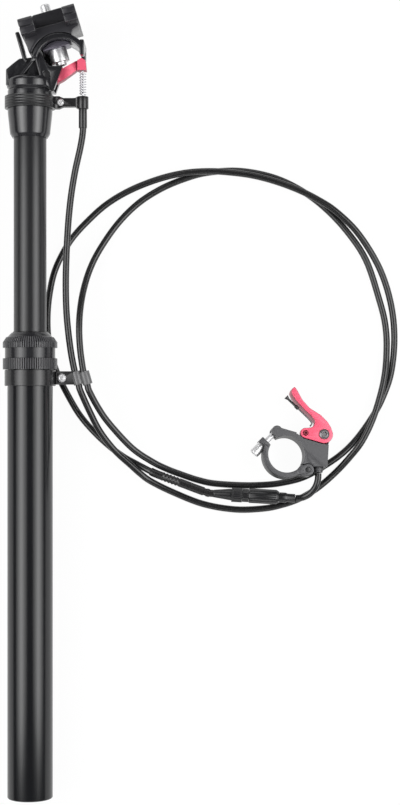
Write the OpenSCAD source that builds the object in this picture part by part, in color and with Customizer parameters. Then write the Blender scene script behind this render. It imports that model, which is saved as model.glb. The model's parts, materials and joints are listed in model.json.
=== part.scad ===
// Dropper seatpost with an outside cable and a bar remote, lying on its side.
// X points to the rear of the bicycle, Y along the post to the saddle, Z up.
// The origin is on the post's axis at the lower end of the outer tube.

/* [Outer tube] */
// Outside diameter, the size of the frame's seat tube
tube_d = 27.2; // [25.4:0.1:30]
// Wall of the outer tube
tube_wall = 2; // [1.8:0.1:2.4]
// Length of the outer tube
tube_len = 268; // [240:1:320]

/* [Collar] */
// Diameter over the knurled rings
knurl_d = 32.6; // [32:0.1:36]
// Teeth round a knurled ring
knurl_teeth = 72; // [48:4:80]
// Depth of the knurling
knurl_depth = 0.6; // [0.3:0.1:0.7]
// Width of the lock ring
lock_w = 6.6; // [5:0.2:9]
// Diameter of the smooth sleeve of the cap
sleeve_d = 30.1; // [29.8:0.1:31]
// Length of the smooth sleeve
sleeve_w = 6.3; // [6:0.1:8]
// Width of the cap's knurled ring, below the dome
cap_knurl_w = 3.4; // [3:0.1:6]
// Height of the domed top of the cap
dome_h = 5.7; // [5:0.1:6.4]

/* [Upper tube] */
// Outside diameter of the sliding tube
stanchion_d = 19.6; // [19:0.1:20]
// Wall of the sliding tube
stanchion_wall = 1.5; // [1.3:0.1:1.6]
// Length that shows between the collar and the head
stanchion_show = 116.6; // [110:0.2:140]
// Length inside the collar and the outer tube
stanchion_hidden = 128.6; // [110:0.2:140]
// Depth of the socket in the head
socket_depth = 23.1; // [18:0.1:24]
// Width of a guide key
key_w = 3; // [2:0.1:4]
// Length of a guide key
key_len = 14; // [8:1:20]

/* [Lift cartridge] */
// Diameter of the piston rod
rod_d = 8; // [7:0.1:9]
// Wall of the gas cylinder
cylinder_wall = 1.5; // [1:0.1:1.7]
// Diameter of the valve stem
stem_d = 3; // [2.4:0.1:3.2]
// Diameter of the stem's button
stem_button_d = 7; // [6:0.1:7.4]
// Thickness of the stem's button
stem_button_h = 2; // [1.4:0.1:2.2]

/* [Head] */
// Diameter of the head's round base
head_d = 27.8; // [27.4:0.1:28.4]
// Thickness of the head's neck
neck_t = 18; // [17:0.2:21]
// Width of the curved saddle seat
arch_w = 26; // [22:0.5:28]
// Outside radius of the curved seat
arch_r = 17.5; // [17.2:0.1:18]
// Thickness of the curved seat
arch_wall = 3.4; // [3:0.1:3.6]
// Distance of the curved seat's centre behind the post's axis
setback = 19; // [18.6:0.1:19.4]

/* [Saddle clamp] */
// Diameter of a saddle rail
rail_d = 7; // [6.8:0.1:7.4]
// Distance between the two rails
rail_gap = 44; // [43:0.5:46]
// Slope of the rails against the post, at rest
rail_slope = 16; // [14:0.5:18]
// Width of the clamp across the rails
clamp_w = 53; // [52:0.5:56]
// Length of the clamp along the rails
clamp_len = 34.6; // [33:0.2:35]
// Diameter of the clamp bolt
bolt_d = 6; // [5:0.1:6]
// Diameter of the bolt's head
bolt_head_d = 11; // [10:0.1:11]
// Height of the bolt's head
bolt_head_h = 8; // [7:0.1:8]

/* [Head lever] */
// Width of the lever
lever_w = 8; // [6.6:0.1:8.4]
// Diameter of the lever's pivot pin
pivot_d = 4; // [3:0.1:4.4]
// Distance of the cable behind the post's axis
cable_x = 31.6; // [31.2:0.1:32]

/* [Cable and spring] */
// Diameter of the cable housing
housing_d = 4; // [3.8:0.1:4]
// Diameter of the inner wire
wire_d = 1.2; // [1:0.1:1.4]
// Outside diameter of the return spring
spring_d = 4.2; // [3.6:0.1:4.6]
// Wire of the return spring
spring_wire = 0.6; // [0.4:0.05:0.6]
// Curls of the return spring
spring_curls = 9; // [6:1:10]

/* [Cable stop] */
// Height of the stop's band along the post
stop_w = 7.4; // [6:0.1:8]
// Thickness of the band
stop_t = 1.7; // [1.4:0.05:2]
// Diameter of the housing's ferrule
ferrule_d = 5; // [4.8:0.1:5.2]
// Length of the ferrule
ferrule_len = 14.3; // [10:0.1:16]

/* [Cable guide] */
// Height of the guide's band along the post
guide_w = 9.6; // [8:0.1:10]
// Thickness of the band
guide_t = 1.8; // [1.4:0.1:2.2]
// Distance between the two strands
strand_gap = 5.2; // [5.1:0.1:5.6]

/* [Inline adjuster] */
// Diameter of the turning barrel
barrel_d = 8.9; // [8:0.1:9]
// Length of the turning barrel
barrel_len = 18.4; // [14:0.2:19]
// Diameter of the hollow screw
hollow_screw_d = 4.8; // [4:0.1:5]

/* [Remote] */
// Diameter of the handlebar
bar_d = 22.2; // [22:0.1:22.4]
// Thickness of the bar clamp's wall
clamp_wall = 3; // [2.6:0.1:3.1]
// Width of the remote along the bar
remote_w = 11; // [10:0.1:12]
// Diameter of the clamp's hinge pin
hinge_pin_d = 3; // [2.4:0.1:3.4]
// Diameter of the clamp screw
remote_screw_d = 3.4; // [3:0.1:3.6]
// Diameter of the lever's pivot screw
thumb_pivot_d = 4; // [3:0.1:4.2]
// Thickness of the thumb lever's root
thumb_root_t = 4.8; // [4:0.1:5]

/* [Hidden] */
$fn = 64;

// Clearances: seated pieces, running fits, and pieces that pass each other
seat = 0.05;
run = 0.05;
pass = 0.3;

// Outer tube and collar, from the tube's upper end
tube_r = tube_d / 2;
bore_r = tube_r - tube_wall;
keyway_depth = 0.75;
plug_y = [1, 13];
plug_shelf = [4.5, 7];
foot_bolt_d = 6;
foot_head_d = 10;
cap_grip = 4.8;
cap_y = tube_len - cap_grip;
flange_t = 1.4;
lock_y = cap_y - lock_w;
guide_y = lock_y - pass - guide_w;
guide_mid = guide_y + guide_w / 2;
thread_y = guide_y - pass;
thread_r = tube_r - 0.2;
knurl_y = cap_y + sleeve_w;
dome_y = knurl_y + cap_knurl_w;
collar_top = dome_y + dome_h;
seal_lip = 2.6;
seal_r = stanchion_d / 2 + 2.6;
bush_len = 30;

// Sliding tube and cartridge
stanchion_r = stanchion_d / 2;
slide_r = stanchion_r - stanchion_wall;
stanchion_y = collar_top - stanchion_hidden;
head_y = collar_top + stanchion_show;
stanchion_top = head_y + socket_depth - pass;
key_y = stanchion_y + 26;
key_r = [stanchion_r - 0.75, bore_r + keyway_depth - 0.2];
cylinder_r = slide_r - 0.1;
chamber_r = cylinder_r - cylinder_wall;
cylinder_y = stanchion_y + 6;
gland_h = 9;
piston_y = cylinder_y + gland_h + 1.5;
piston_h = 7.5;
valve_head_h = 10;

// Head: heights above its lower edge
head_r = head_d / 2;
band_seat_r = head_r - 0.5;
arch_c = [setback, head_y + 43.3];
arch_in = arch_r - arch_wall;
pivot = [10.5, head_y + 36.8];
slot_w = lever_w + 2 * pass;
neck_wall = 2.1;
button_y = head_y + 39.3;
fork_y = button_y - pass;
fork_t = 3;
tip_y = head_y + 40.2;
barrel_y = head_y + 44.1;
wire_barrel_d = 3.2;
barrel_roof = 1;
stop_y = head_y + 17.4;
stop_bolt_x = band_seat_r + seat + stop_t + 3.25;
stop_bolt_d = 3.1;

// Saddle clamp, in its own frame: x along the rails, y along the bolt
split_y = 23.3;
split_half = 0.3;
clamp_half = clamp_len / 2;
waist = [-8.5, 9.5];
waist_w = 18;
cap_h = 5.2;
cap_rise = 3.4;
lip_h = 4.4;
bolt_reach = 38;
bolt_seat = 10;

// Resting plane under the tube's lower edge and the clamp's side
rest_y = arch_c.y - clamp_half * sin(rail_slope) + (split_y - lip_h) * cos(rail_slope);
rest_slope = (clamp_w / 2 - tube_r) / rest_y;
function rest_z(y) = -tube_r - rest_slope * y;
function laid(p) = [p.x, p.y, rest_z(p.y) + p.z];

// Cable guide: the strands pass its eyes at this angle
eye_slope = 16;
eye_r = housing_d / 2 + pass;
eye_x = 28.2;
ear_t = 2.1;
ear_end = 23.6;
guide_screw_d = 3;
guide_screw_x = 19.2;

// Housing from the head to the guide: x, y and height over the post's axis
upper_route = [
    [31.6, 410, 0], [31.6, 405, 0], [31.6, 399, 0], [30.2, 390, 0], [27, 376, -1], [24.6, 362, -1.5],
    [23, 348, -2], [22, 334, -2.5], [21.4, 320, -2.5], [21.2, 306, -2.5], [21.6, 292, -2],
    [22.8, 279, -1], [24.6, 266, -0.3], [26.5, 256.4, 0], [27.2, 254, 0], [28.1, 250.8, 0]
];

// Two loops of housing: x, y and height over the resting plane
loop_route = [
    [28.2, 250.5, 20.7], [29.2, 247, 20.6], [30.2, 243.6, 20.2], [35.4, 231.5, 16.5], [41.5, 219.3, 12],
    [50, 208, 8.2], [60, 198.7, 6.6], [66, 193.3, 5.4], [72, 188.9, 3.6], [85, 182.4, 2.2],
    [103.7, 175.1, 2.1], [123, 171.8, 2.1], [140, 172.3, 2.1], [151, 174.4, 2.1], [162, 178.2, 2.1],
    [173, 184.6, 2.1], [184, 194, 2.2], [193, 203.8, 4], [200.4, 213.8, 6], [207.5, 229.2, 6.8],
    [213.4, 250, 5.6], [215.4, 268, 3.4], [214.8, 284, 2.2], [211, 300, 2.1], [203, 324, 2.1],
    [191, 342, 2.1], [177, 356.6, 2.1], [162, 367.4, 2.1], [145.2, 374.8, 2.1], [125.2, 378.4, 2.1],
    [106, 377.2, 2.1], [92, 373.4, 2.1], [78, 367.4, 2.1], [64, 358.4, 2.1], [51.6, 346, 2.5],
    [41, 330.4, 4.8], [35, 317.8, 8], [31.4, 305, 12], [29.6, 292.6, 16], [29.2, 280.4, 18.8],
    [30, 268.2, 20.4], [31.6, 257, 20.8], [32.4, 254, 20.7], [33.4, 250.5, 20.7], [34.4, 247, 20.6],
    [35.4, 243.6, 20.2], [40.4, 234, 17], [47, 224.2, 13], [60.4, 209.4, 7], [72.6, 200.9, 3.8],
    [82, 196.2, 2.4], [91, 192.8, 2.1], [100, 189.8, 2.1], [110, 187.6, 2.1], [126, 186.5, 2.1],
    [139, 186.6, 2.1], [151, 187.8, 2.1], [165, 191.4, 2.1], [179.4, 199.4, 2.1], [190, 207.2, 2.1],
    [198.6, 216.4, 2.1], [207.5, 229.2, 2.1], [213.2, 240.1, 2.1], [218, 254, 2.1], [220.2, 272, 2.1],
    [219.4, 290, 2.1], [215.4, 308, 2.1], [208.6, 324, 3], [197.2, 341, 5], [184.4, 353.2, 6.4],
    [174, 360, 6.7], [162.6, 365.8, 6.7], [149, 371, 6.6], [135, 374.8, 6.6], [121, 376.8, 6.6],
    [107, 377.6, 6.6], [92, 376.6, 5.8], [76, 373, 3.8], [59, 366.4, 2.3], [44.6, 357.8, 2.1],
    [33, 347.4, 2.1], [24, 337.4, 2.1], [17.8, 327.4, 2.1], [12.8, 316, 2.1], [10, 303, 2.1],
    [8.8, 290, 2.1], [9.2, 277, 2.1], [11.4, 265, 2.1], [15.2, 253.6, 2.1], [20.6, 242.6, 2.1],
    [28.4, 229.4, 2.1], [37.8, 218.4, 2.1], [47.3, 209.7, 2.1], [55.6, 203.6, 2.1], [63.6, 199.2, 2.3],
    [69, 196.4, 3.2], [72, 194.9, 4]
];

// Boot of the adjuster: x, y and height over the resting plane
boot_route = [
    [72.3, 194.8, 4], [74.6, 193.7, 4.3], [82, 190.9, 4.8], [91, 187.7, 5.1], [100, 184.3, 5.2],
    [106.4, 182.1, 5.2], [109.8, 181.6, 5.2]
];
boot_radii = [
    2.4, 2.5, 2.5, 2.5, 2.5, 2.5, 2.5, 2.75, 2.3, 2.75, 2.3, 2.75, 2.3, 2.6, 2.6, 2.6, 2.6, 2.6, 2.6, 2.6,
    2.2, 2.5, 2.2, 2.2, 2.2
];

// Axis of the adjuster's barrel and the length of housing between it and the remote
barrel_start = laid([110, 181.6, 5.2]);
barrel_end = laid([159.4, 178.8, 7]);
barrel_run = norm(barrel_end - barrel_start);
nozzle_len = 11;
ring_w = 6.4;
collar_w = 4;
remote_ferrule_len = 9.2;

// Remote: its frame lies on a strand of housing and on the tip of its lever
bar_r = bar_d / 2;
ring_r = bar_r + clamp_wall;
remote_at = [152.7, 204.1];
remote_h = 6.2;
remote_lean = 9;
remote_roll = 6;
remote_mid = remote_w / 2;
hinge = [12.9, -9.4];
hinge_r = 3.6;
knuckle_half = 1.9;
arm_leaves = [
    [0.2, remote_mid - knuckle_half - pass / 2],
    [remote_mid + knuckle_half + pass / 2, remote_w - 0.2]
];
bolt_from = [-19.2, 1];
bolt_turn = 44;
remote_head_d = 5.8;
remote_head_h = 7.2;
ear_len = 3.2;
lug_c = [-5.4, 14.3];
lug_r = 3.1;
lug_from = norm(lug_c - bolt_from) - lug_r;
body_top = 5.6;
body_low = -7.5;
stop_x = 19.9;
thumb_pivot = [23.2, 12];
thumb_r = 5.4;
anchor = [11.9, 12.9];
anchor_r = 3.1;
anchor_d = 3;
thumb_z = remote_w - thumb_root_t;
tongue_z = [0.9, thumb_z - pass];
tongue_r = 5;
tail_route = [
    [159.8, 178.8, 7], [164, 179.3, 7.4], [168.2, 181.6, 8.7], [171.4, 185.6, 10.1], [172.9, 190, 10.9],
    [173.2, 194.1, 10.9]
];
wire_tail_route = [[15, 17.2, 8.6], [16.2, 19, 8.6], [14.4, 21.6, 8.6], [11.2, 24.8, 8.6], [8.2, 27.8, 8.6]];
wire_tail_d = 1;
end_cap_d = 2.2;
end_cap_len = 10.4;

// Shared functions and shapes
function unit(v) = v / norm(v);
function arc(c, r, from, to, steps) =
    [for (i = [0:steps]) c + r * [cos(from + (to - from) * i / steps), sin(from + (to - from) * i / steps)]];
function spline(a, b, c, d, t) =
    (2 * b + (c - a) * t + (2 * a - 5 * b + 4 * c - d) * t * t + (3 * b - a - 3 * c + d) * t * t * t) / 2;
function route_point(p, i) = i < 0 ? 2 * p[0] - p[1] : i >= len(p) ? 2 * p[len(p) - 1] - p[len(p) - 2] : p[i];
function smooth(p, n) = [
    for (i = [0:len(p) - 2], k = [0:n - 1])
        spline(route_point(p, i - 1), p[i], p[i + 1], route_point(p, i + 2), k / n),
    p[len(p) - 1]
];
function heading(p, i) = unit(route_point(p, i + 1) - route_point(p, i - 1));
function least_gap(p, apart, d) =
    min([for (i = [0:len(p) - 1 - apart], j = [i + apart:len(p) - 1]) norm(p[i] - p[j])]) - d;

// A swept tube of triangles: radii and outward follow the path, and each ring's first corner faces outward
module tube(path, radii, sides, outward = []) {
    rings = len(path);
    points = [
        for (i = [0:rings - 1])
            let (
                along = heading(path, i),
                hint = len(outward) > 0 ? outward[i] : cross(along, [0, 0, 1]),
                side = unit(hint - along * (hint * along)),
                up = cross(side, along)
            )
            for (k = [0:sides - 1])
                path[i] + radii[i] * (cos(360 * k / sides) * side + sin(360 * k / sides) * up)
    ];
    walls = [
        for (i = [0:rings - 2], k = [0:sides - 1])
            let (a = i * sides + k, b = i * sides + (k + 1) % sides)
            each [[a, b, b + sides], [a, b + sides, a + sides]]
    ];
    last = (rings - 1) * sides;
    ends = [for (k = [1:sides - 2]) each [[0, k + 1, k], [last, last + k, last + k + 1]]];
    polyhedron(points, concat(walls, ends));
}

module cord(path, d) {
    tube(path, [for (p = path) d / 2], 8);
}

// A turned shape about the post's axis: each point is a radius and a place along Y
module turned(profile) {
    rotate([-90, 0, 0]) rotate_extrude() polygon(profile);
}

module ring_y(inner, outer, from, to) {
    turned([[inner, from], [outer, from], [outer, to], [inner, to]]);
}

module pin_y(r, from, to) {
    translate([0, from, 0]) rotate([-90, 0, 0]) cylinder(h = to - from, r = r);
}

module pin_z(at, r, from, to) {
    translate([at.x, at.y, from]) cylinder(h = to - from, r = r);
}

module slab(outline, half) {
    translate([0, 0, -half]) linear_extrude(2 * half) polygon(outline);
}

module plate(outline, from, to) {
    translate([0, 0, from]) linear_extrude(to - from) polygon(outline);
}

// Knurled ring: each tooth has a flat crest and then a groove
module knurl(from, to, narrowing = 1) {
    pitch = 360 / knurl_teeth;
    tooth = [[0, 0], [0.5, 0], [0.75, knurl_depth]];
    translate([0, from, 0]) rotate([-90, 0, 0]) linear_extrude(to - from, scale = narrowing) polygon([
        for (i = [0:knurl_teeth - 1], p = tooth)
            (knurl_d / 2 - p[1]) * [cos(pitch * (i + p[0])), sin(pitch * (i + p[0]))]
    ]);
}

// Outer tube, collar and what they hold
module lower_tube() {
    color("#17181a") difference() {
        turned([
            [bore_r, 0], [tube_r, 0], [tube_r, thread_y], [thread_r, thread_y], [thread_r, tube_len],
            [bore_r, tube_len]
        ]);
        for (turn = [0:120:240]) keyway(turn);
    }
}

module keyway(turn) {
    width = key_w + 0.2;
    rotate([0, turn, 0]) translate([-width / 2, -1, 0])
        cube([width, tube_len - bush_len - 1, bore_r + keyway_depth]);
}

module bottom_plug() {
    color("#2a2b2d") turned([
        [foot_head_d / 2 + 0.2, plug_y[0]], [bore_r - seat, plug_y[0]], [bore_r - seat, plug_y[1]],
        [rod_d / 2 + seat, plug_y[1]], [rod_d / 2 + seat, plug_shelf[1]],
        [foot_bolt_d / 2 + seat, plug_shelf[1]], [foot_bolt_d / 2 + seat, plug_shelf[0]],
        [foot_head_d / 2 + 0.2, plug_shelf[0]]
    ]);
}

module foot_bolt() {
    color("silver") difference() {
        union() {
            pin_y(foot_head_d / 2, plug_y[0] - 0.4, plug_shelf[0]);
            pin_y(foot_bolt_d / 2, plug_shelf[0], plug_shelf[1] + 9);
        }
        translate([0, plug_y[0] - 1, 0]) rotate([-90, 0, 0]) cylinder(h = 3, d = 5.8, $fn = 6);
    }
}

module piston_rod() {
    color("silver") difference() {
        pin_y(rod_d / 2, plug_shelf[1], piston_y + piston_h);
        pin_y(foot_bolt_d / 2 + seat, plug_shelf[1] - 1, plug_shelf[1] + 10);
    }
}

module piston() {
    color("gray") ring_y(rod_d / 2 + seat, chamber_r - run, piston_y, piston_y + piston_h);
}

module upper_bush() {
    inner = stanchion_r + run;
    outer = bore_r - seat;
    color("#c9b27a") turned([
        [inner, tube_len - bush_len], [outer, tube_len - bush_len], [outer, tube_len],
        [thread_r, tube_len], [thread_r, tube_len + flange_t], [inner, tube_len + flange_t]
    ]);
}

module wiper_seal() {
    foot = tube_len + flange_t + seat;
    shelf = collar_top - seal_lip - 0.1;
    inner = stanchion_r + run;
    color("#0c0c0d") turned([
        [inner, foot], [seal_r, foot], [seal_r, shelf], [inner + 1, shelf],
        [inner + 0.5, collar_top + 0.6], [inner, collar_top + 0.6]
    ]);
}

module collar_cap() {
    mouth = stanchion_r + run + 1.2;
    shelf = collar_top - seal_lip;
    step_y = max(knurl_y, tube_len + flange_t + seat);
    valley_r = knurl_d / 2 - knurl_depth;
    teeth_h = dome_h * 0.53;
    shoulder_r = 13.5;
    color("#1b1c1e") {
        turned([
            [thread_r + seat, cap_y], [sleeve_d / 2, cap_y], [sleeve_d / 2, dome_y],
            [valley_r - 0.2, dome_y], [shoulder_r, dome_y + teeth_h], [12.2, dome_y + dome_h * 0.8],
            [mouth, collar_top], [mouth, shelf], [seal_r + seat, shelf], [seal_r + seat, step_y],
            [thread_r + seat, step_y]
        ]);
        difference() {
            knurl(knurl_y, dome_y);
            pin_y(sleeve_d / 2 - 0.5, knurl_y - 1, dome_y + 1);
        }
        difference() {
            knurl(dome_y - 0.1, dome_y + teeth_h, (shoulder_r + 0.2) / valley_r);
            pin_y(shoulder_r - 0.5, dome_y - 1, dome_y + teeth_h + 1);
        }
    }
}

module lock_ring() {
    color("#1b1c1e") difference() {
        knurl(lock_y, cap_y);
        pin_y(thread_r + seat, lock_y - 1, cap_y + 1);
    }
}

// Cable guide on its band
module guide_band() {
    inner = thread_r + seat;
    color("#1d1e20") difference() {
        union() {
            ring_y(inner, inner + guide_t, guide_y, guide_y + guide_w);
            translate([inner + guide_t / 2, guide_y + 0.8, -ear_t])
                cube([ear_end - inner - guide_t / 2, guide_w - 1.6, ear_t - seat]);
        }
        pin_y(inner, guide_y - 1, guide_y + guide_w + 1);
        pin_z([guide_screw_x, guide_mid], guide_screw_d / 2 + seat, -10, 10);
    }
}

module eye(at_x, r, length) {
    translate([at_x, guide_mid, 0]) rotate([0, 0, eye_slope]) rotate([90, 0, 0])
        cylinder(h = length, r = r, center = true);
}

module cable_guide() {
    inner = thread_r + seat + guide_t + pass;
    length = guide_w - 1.6;
    color("#232427") difference() {
        union() {
            translate([inner, guide_mid - length / 2, seat]) cube([eye_x - inner, length, ear_t]);
            eye(eye_x, eye_r + 0.75, length);
            eye(eye_x + strand_gap, eye_r + 0.75, length);
        }
        eye(eye_x, eye_r, 2 * guide_w);
        eye(eye_x + strand_gap, eye_r, 2 * guide_w);
        pin_z([guide_screw_x, guide_mid], guide_screw_d / 2 + seat, -10, 10);
    }
}

module button_screw(at, d, from, to, head_d, head_h) {
    translate([at.x, at.y, 0]) difference() {
        union() {
            translate([0, 0, from]) cylinder(h = to - from, d = d);
            translate([0, 0, to]) rotate_extrude() polygon([
                [0, 0], [head_d / 2, 0], [head_d / 2, head_h * 0.45], [head_d * 0.32, head_h], [0, head_h]
            ]);
        }
        translate([0, 0, to + head_h * 0.4]) cylinder(h = head_h, d = head_d * 0.45, $fn = 6);
    }
}

module guide_screw() {
    color("silver")
        button_screw([guide_screw_x, guide_mid], guide_screw_d, -ear_t, ear_t + seat, 5.2, 1.6);
}

// Sliding tube and the cartridge that lifts it
module stanchion() {
    color("#131416") difference() {
        ring_y(slide_r, stanchion_r, stanchion_y, stanchion_top);
        for (turn = [0:120:240]) rotate([0, turn, 0]) key_block(seat, key_r[0] - seat, key_r[1]);
    }
}

module key_block(room, from, to) {
    translate([-key_w / 2 - room, key_y - room, from])
        cube([key_w + 2 * room, key_len + 2 * room, to - from]);
}

module stanchion_bush() {
    color("#c9b27a") ring_y(stanchion_r + seat, bore_r - run, stanchion_y + 1, stanchion_y + 21);
}

module guide_keys() {
    color("#b08d3c") for (turn = [0:120:240]) rotate([0, turn, 0]) key_block(0, key_r[0], key_r[1]);
}

module gas_cylinder() {
    color("gray") ring_y(chamber_r, cylinder_r, cylinder_y, stanchion_top);
}

module cylinder_gland() {
    color("#3a3b3d") ring_y(rod_d / 2 + run, chamber_r - seat, cylinder_y, cylinder_y + gland_h);
}

module valve_head() {
    color("#3a3b3d")
        ring_y(stem_d / 2 + run, chamber_r - seat, stanchion_top - valve_head_h, stanchion_top);
}

module valve_stem() {
    foot = stanchion_top - valve_head_h - 10;
    color("silver") {
        pin_y(stem_d / 2, foot, button_y);
        pin_y(stem_button_d / 2, button_y, button_y + stem_button_h);
        pin_y(stem_d / 2 + 1, foot - 2, foot);
    }
}

// Head of the post
function from_head(points) = [for (p = points) [p.x, head_y + p.y]];

module head() {
    color("#161719") difference() {
        union() {
            head_base();
            head_neck();
            head_arch();
            head_web();
            head_tab();
        }
        lever_slot();
        bolt_slot();
        pin_z(pivot, pivot_d / 2 + 0.02, -neck_t, neck_t);
        pin_y(stem_d / 2 + 0.7, head_y + socket_depth - 1, button_y);
        pin_y(stanchion_r + seat, head_y - 1, head_y + socket_depth);
    }
}

module head_base() {
    inner = stanchion_r + seat;
    turned(from_head([
        [inner, 0], [inner + 0.8, 0], [12, 2.4], [band_seat_r - 0.05, 14.8], [band_seat_r, 16.2],
        [band_seat_r, 28.4], [band_seat_r - 0.45, 28.8], [band_seat_r - 0.45, 29.4], [head_r, 29.8],
        [head_r, 34.4], [12.6, 36], [0, 36.6], [0, socket_depth], [inner, socket_depth]
    ]));
}

// Neck: a thin core with a rib up to the curved seat and a thicker cheek round the lever's pivot
module head_neck() {
    slab(from_head([
        [3.4, 46.8], [6.5, 35.1], [13.6, 27.5], [14.9, 27.5], [20.2, 42], [12.6, 41.8], [10.6, 43.4],
        [7.6, 48.8], [6.8, 51.2], [2.6, 47.5]
    ]), neck_t / 2);
    slab(from_head([
        [6.8, 51.2], [2.4, 47.4], [0.4, 45], [-7.4, 35.2], [-5, 34.2], [2.2, 43.6], [6.9, 48.6]
    ]), neck_t / 2 - 1);
    slab(from_head([
        [-head_r, 31], [-head_r, 40.1], [-9.7, 43.7], [-5.9, 46.6], [-1.8, 46.9], [2.4, 47.4],
        [6.8, 51.2], [7.6, 48.8], [10.6, 43.4], [12.6, 41.8], [20.2, 42], [14.9, 27.5], [10, 26.5], [0, 26.5]
    ]), slot_w / 2 + neck_wall);
}

module head_arch() {
    end = [setback + 11.4, head_y + 47.8];
    intersection() {
        difference() {
            translate([arch_c.x, arch_c.y, -arch_w / 2]) cylinder(h = arch_w, r = arch_r, $fn = 128);
            translate([arch_c.x, arch_c.y, -arch_w]) cylinder(h = 2 * arch_w, r = arch_in, $fn = 128);
        }
        slab(concat([arch_c], arc(arch_c, 40, 37, 170, 8)), arch_w);
    }
    translate([end.x, end.y, -arch_w / 2]) cube([2.6, 9, arch_w]);
}

// Web between the neck and the curved seat, on the side away from the bolt's view
module head_web() {
    plate(from_head([
        [4.6, 47.4], [5.6, 52], [8.6, 55.2], [12.8, 57], [12.8, 45], [10.2, 42.8]
    ]), 0.4 - arch_w / 2, 0.4 - neck_t / 2);
}

module saddle_frame() {
    translate([arch_c.x, arch_c.y, 0]) rotate([0, 0, rail_slope]) children();
}

module head_tab() {
    gap = clamp_half + 1.5;
    saddle_frame() slab([
        [-gap - 2.4, 9.5], [-gap - 1.2, 6], [-gap, 7], [-gap, 25.3], [-gap - 2.4, 25.3]
    ], 8);
}

module lever_slot() {
    slab(from_head([
        [-5.2, 35.2], [-5.2, 45.3], [6, 45.3], [12, 51.3], [40, 51.3], [40, 25.8], [17, 25.8], [9, 31.8]
    ]), slot_w / 2);
}

// The bolt tilts with the clamp, so its hole in the curved seat is a slot
module bolt_slot() {
    half = bolt_d / 2 + 0.4;
    saddle_frame() slab(concat(
        arc([0, 0], arch_r + 2, 67, 107, 12), arc([0, 0], arch_in - 1.5, 107, 67, 12)
    ), half);
}

module lever_pivot_pin() {
    color("silver") pin_z(pivot, pivot_d / 2, -neck_t / 2, neck_t / 2);
}

// Lever at the head: the cable pulls its tip down and its fork lifts the valve stem
module head_lever() {
    half = lever_w / 2;
    color("#c01828") difference() {
        union() {
            slab([
                [-2.4, fork_y], [8, fork_y + 0.2], [14, head_y + 40.6], [19.6, head_y + 41.2],
                [cable_x - 2.2, head_y + 46.6], [cable_x - 2.2, tip_y], [cable_x - 3.6, tip_y - 0.2],
                [20, head_y + 34.2], [16.4, head_y + 32.3], [6, fork_y - fork_t], [-2.4, fork_y - fork_t]
            ], half - 0.7);
            slab([
                [cable_x - 3, head_y + 46.1], [cable_x - 0.6, head_y + 47.4], [cable_x + 1.8, head_y + 45.8],
                [cable_x + 2.3, tip_y], [cable_x - 3, tip_y]
            ], half);
            pin_z(pivot, 4.3, -half, half);
        }
        for (side = [-1, 1]) translate([cable_x - 3.9, tip_y - 2, side * half - 1.5]) cube([0.9, 16, 3]);
        pin_z(pivot, pivot_d / 2 + run, -lever_w, lever_w);
        translate([-10, fork_y - fork_t - 2, -stem_d / 2 - 0.4]) cube([13.2, fork_t + 4, stem_d + 0.8]);
        pin_z([cable_x, barrel_y], wire_barrel_d / 2 + 0.1, -lever_w, half - barrel_roof);
        translate([cable_x, 0, 0]) pin_y(wire_d / 2 + 0.4, tip_y - 1, barrel_y);
    }
}

module wire_barrel() {
    color("silver")
        pin_z([cable_x, barrel_y], wire_barrel_d / 2, -lever_w / 2 + 0.4, lever_w / 2 - barrel_roof - 0.2);
}

module inner_wire() {
    foot = stop_y - 2;
    color("silver") translate([cable_x, 0, 0]) pin_y(wire_d / 2, foot, barrel_y - wire_barrel_d / 2 - 0.1);
}

// Return spring: its ends run straight along the wire, square to what they press on
spring_r = (spring_d - spring_wire) / 2;
spring_foot = stop_y + stop_w + 0.15;
spring_top = tip_y - 0.15;
spring_steps = spring_curls * 8;
spring_body = spring_top - spring_foot - 2 * spring_wire;
spring_path = concat(
    [[cable_x, spring_foot, spring_r]],
    [for (i = [0:spring_steps]) [
        cable_x + spring_r * sin(45 * i), spring_foot + spring_wire + spring_body * i / spring_steps,
        spring_r * cos(45 * i)
    ]],
    [[cable_x, spring_top, spring_r]]
);
echo(spring_least_gap = least_gap([for (i = [1:spring_steps + 1]) spring_path[i]], 6, spring_wire));

module return_spring() {
    color("silver") translate([cable_x, 0, 0])
        tube([for (p = spring_path) p - [cable_x, 0, 0]], [for (p = spring_path) spring_wire / 2], 6,
            [for (p = spring_path) [p.x - cable_x, 0, p.z]]);
}

// Cable stop clamped round the base of the head
module cable_stop() {
    inner = band_seat_r + seat;
    outer = inner + stop_t;
    mid = stop_y + stop_w / 2;
    waist_half = stop_w / 2 - 1.1;
    side = stop_w / 2;
    color("#1d1e20") difference() {
        union() {
            ring_y(inner, outer, stop_y, stop_y + stop_w);
            slab([
                [inner, mid - side], [stop_bolt_x - 0.8, mid - side], [stop_bolt_x + 1.6, mid - waist_half],
                [cable_x - 4.6, mid - waist_half], [cable_x - 2.6, mid - side], [cable_x - 2.6, mid + side],
                [cable_x - 4.6, mid + waist_half], [stop_bolt_x + 1.6, mid + waist_half],
                [stop_bolt_x - 0.8, mid + side], [inner, mid + side]
            ], 2.4);
            translate([cable_x, 0, 0]) pin_y(3.4, stop_y, stop_y + stop_w);
        }
        pin_y(inner, stop_y - 1, stop_y + stop_w + 1);
        translate([inner - 2, stop_y - 1, -0.35]) cube([cable_x - 5.6 - inner + 2, stop_w + 2, 0.7]);
        translate([cable_x, 0, 0]) pin_y(ferrule_d / 2 + seat, stop_y - 1, stop_y + 3);
        translate([cable_x, 0, 0]) pin_y(wire_d / 2 + 0.3, stop_y, stop_y + stop_w + 1);
        pin_z([stop_bolt_x, mid], stop_bolt_d / 2 + seat, -10, 10);
    }
}

module stop_screw() {
    color("silver") button_screw([stop_bolt_x, stop_y + stop_w / 2], stop_bolt_d, -4.4, 2.4, 4.4, 1.5);
}

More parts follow.
